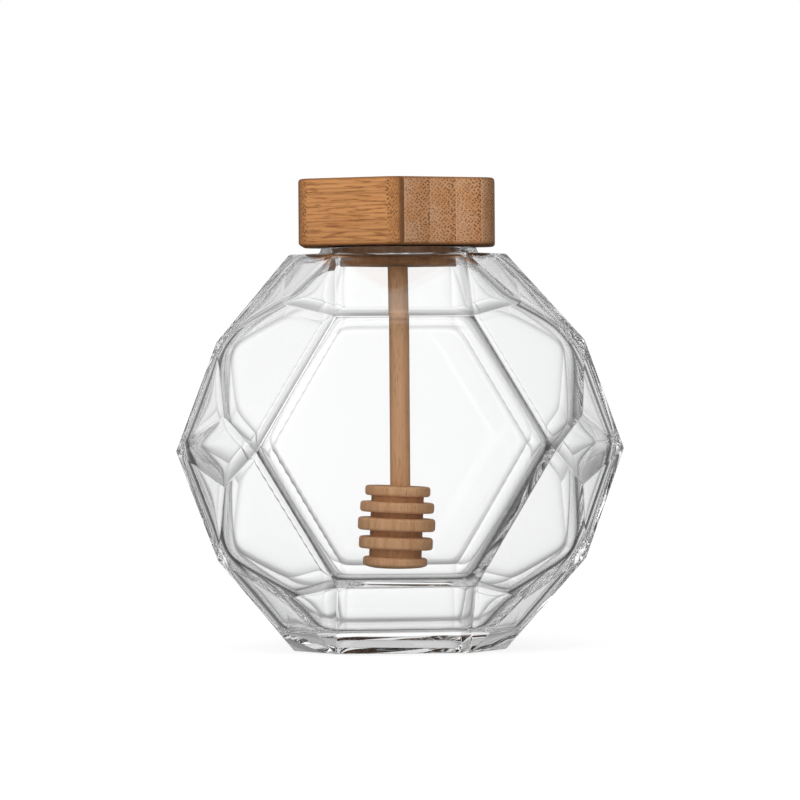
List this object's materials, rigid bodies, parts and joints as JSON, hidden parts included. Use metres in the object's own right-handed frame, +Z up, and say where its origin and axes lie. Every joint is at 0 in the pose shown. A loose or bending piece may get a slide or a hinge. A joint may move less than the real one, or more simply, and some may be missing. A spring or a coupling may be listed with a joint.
{
  "type": "glass honey jar",
  "caption": "Empty faceted glass jar, gem-shaped, with a hexagonal bamboo lid and a turned wooden dipper hanging inside.",
  "frame": {"origin": "middle of the jar's flat base, on the surface that it stands on", "axes": "+Z up through the neck and lid, the front hexagon facet faces -Y, +X to the right seen from the front"},
  "size_m": [0.1046, 0.082, 0.1106],
  "materials": {
    "clear_glass": "polished clear glass",
    "bamboo": "laminated bamboo, satin",
    "plug_wood": "dark brown wood, satin",
    "dipper_wood": "turned beech, matt"
  },
  "bodies": {
    "root": {"jar_glass": "clear_glass", "lid_cap": "bamboo", "lid_plug": "plug_wood", "dipper": "dipper_wood"}
  },
  "joints": []
}
